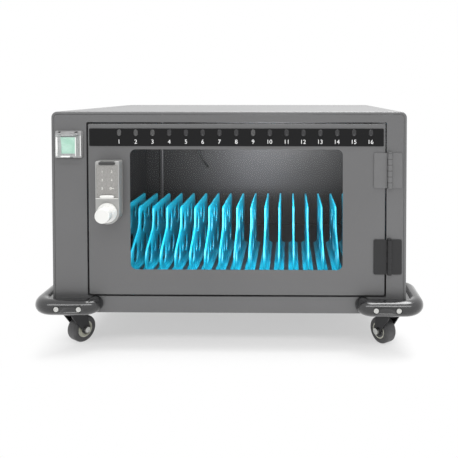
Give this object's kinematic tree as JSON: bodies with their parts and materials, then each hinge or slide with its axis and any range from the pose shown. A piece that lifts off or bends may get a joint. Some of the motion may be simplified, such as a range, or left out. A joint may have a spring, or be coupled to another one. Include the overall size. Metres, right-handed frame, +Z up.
{
  "type": "laptop charging cart",
  "caption": "Low steel charging cabinet on swivel castors, with a windowed hinged door, combination lock, lit switch, blue bay dividers and corner bumpers.",
  "frame": {"origin": "floor, under the middle of the whole footprint", "axes": "+Z up, -Y the door side, +X to the right as seen from the door side"},
  "size_m": [0.726, 0.565, 0.452],
  "materials": {
    "case_grey": "fine satin powder coat",
    "hinge_grey": "satin powder coat",
    "tray_black": "matt black",
    "divider_blue": "satin moulded",
    "clear_pane": "polished clear",
    "strip_black": "satin film",
    "light_smoke": "smoked diffuser",
    "board_green": "solder resist",
    "lock_white": "satin chrome-white",
    "keypad_grey": "brushed satin",
    "zinc_steel": "bright zinc",
    "switch_black": "moulded",
    "rocker_green": "translucent lit",
    "cover_clear": "clear flexible",
    "charger_white": "moulded",
    "lead_black": "soft",
    "bumper_black": "gloss moulded",
    "castor_black": "black passivated",
    "wheel_grey": "smooth tread"
  },
  "bodies": {
    "cabinet": {"outer_shell": "case_grey", "base_pan": "case_grey", "front_frame": "case_grey", "back_panel": "case_grey", "side_partition": "case_grey", "rear_partition": "case_grey", "divider_tray": "tray_black", "divider_01": "divider_blue", "divider_02": "divider_blue", "divider_03": "divider_blue", "divider_04": "divider_blue", "divider_05": "divider_blue", "divider_06": "divider_blue", "divider_07": "divider_blue", "divider_08": "divider_blue", "divider_09": "divider_blue", "divider_10": "divider_blue", "divider_11": "divider_blue", "divider_12": "divider_blue", "divider_13": "divider_blue", "divider_14": "divider_blue", "divider_15": "divider_blue", "divider_16": "divider_blue", "divider_17": "divider_blue", "strike_plate": "case_grey", "frame_hinge_leaves": "hinge_grey", "hinge_pins": "zinc_steel", "switch_housing": "switch_black", "power_inlet": "switch_black", "charging_unit": "charger_white", "inner_lead": "lead_black", "panel_screws": "zinc_steel", "corner_bumpers": "bumper_black", "bumper_screws": "zinc_steel", "castor_plates": "castor_black"},
    "door": {"door_panel": "case_grey", "window_pane": "clear_pane", "window_retainer": "tray_black", "indicator_strip": "strip_black", "indicator_lights": "light_smoke", "led_board": "board_green", "lock_housing": "lock_white", "lock_keypad": "keypad_grey", "door_hinge_leaves": "hinge_grey"},
    "lock_spindle": {"lock_knob": "lock_white", "lock_cam": "zinc_steel"},
    "rocker": {"switch_rocker": "rocker_green"},
    "splash_cover": {"switch_cover": "cover_clear"},
    "castor_front_left": {"castor_fork_front_left": "castor_black", "castor_axle_front_left": "zinc_steel"},
    "wheel_front_left": {"castor_wheel_front_left": "wheel_grey"},
    "castor_front_right": {"castor_fork_front_right": "castor_black", "castor_axle_front_right": "zinc_steel"},
    "wheel_front_right": {"castor_wheel_front_right": "wheel_grey"},
    "castor_rear_left": {"castor_fork_rear_left": "castor_black", "castor_axle_rear_left": "zinc_steel"},
    "wheel_rear_left": {"castor_wheel_rear_left": "wheel_grey"},
    "castor_rear_right": {"castor_fork_rear_right": "castor_black", "castor_axle_rear_right": "zinc_steel"},
    "wheel_rear_right": {"castor_wheel_rear_right": "wheel_grey"}
  },
  "joints": [
    {"name": "door_hinge", "type": "hinge", "parent": "cabinet", "child": "door", "pos_m": [0.298, -0.2353, 0.264], "axis": [0, 0, 1], "range_deg": [0, 170]},
    {"name": "lock_turn", "type": "hinge", "parent": "door", "child": "lock_spindle", "pos_m": [-0.219, -0.2525, 0.2685], "axis": [0, 1, 0], "range_deg": [0, 90]},
    {"name": "rocker_tilt", "type": "hinge", "parent": "cabinet", "child": "rocker", "pos_m": [-0.296, -0.2275, 0.391], "axis": [-1, 0, 0], "range_deg": [0, 16]},
    {"name": "cover_flip", "type": "hinge", "parent": "cabinet", "child": "splash_cover", "pos_m": [-0.296, -0.2383, 0.411], "axis": [-1, 0, 0], "range_deg": [0, 100]},
    {"name": "swivel_front_left", "type": "hinge", "parent": "cabinet", "child": "castor_front_left", "pos_m": [-0.306, -0.1945, 0.0656], "axis": [0, 0, 1], "continuous": true},
    {"name": "roll_front_left", "type": "hinge", "parent": "castor_front_left", "child": "wheel_front_left", "pos_m": [-0.29594, -0.17958, 0.025], "axis": [-0.829, 0.5592, 0], "continuous": true},
    {"name": "swivel_front_right", "type": "hinge", "parent": "cabinet", "child": "castor_front_right", "pos_m": [0.306, -0.1945, 0.0656], "axis": [0, 0, 1], "continuous": true},
    {"name": "roll_front_right", "type": "hinge", "parent": "castor_front_right", "child": "wheel_front_right", "pos_m": [0.29594, -0.17958, 0.025], "axis": [-0.829, -0.5592, 0], "continuous": true},
    {"name": "swivel_rear_left", "type": "hinge", "parent": "cabinet", "child": "castor_rear_left", "pos_m": [-0.306, 0.2135, 0.0656], "axis": [0, 0, 1], "continuous": true},
    {"name": "roll_rear_left", "type": "hinge", "parent": "castor_rear_left", "child": "wheel_rear_left", "pos_m": [-0.29594, 0.22842, 0.025], "axis": [-0.829, 0.5592, 0], "continuous": true},
    {"name": "swivel_rear_right", "type": "hinge", "parent": "cabinet", "child": "castor_rear_right", "pos_m": [0.306, 0.2135, 0.0656], "axis": [0, 0, 1], "continuous": true},
    {"name": "roll_rear_right", "type": "hinge", "parent": "castor_rear_right", "child": "wheel_rear_right", "pos_m": [0.29594, 0.22842, 0.025], "axis": [-0.829, -0.5592, 0], "continuous": true}
  ]
}
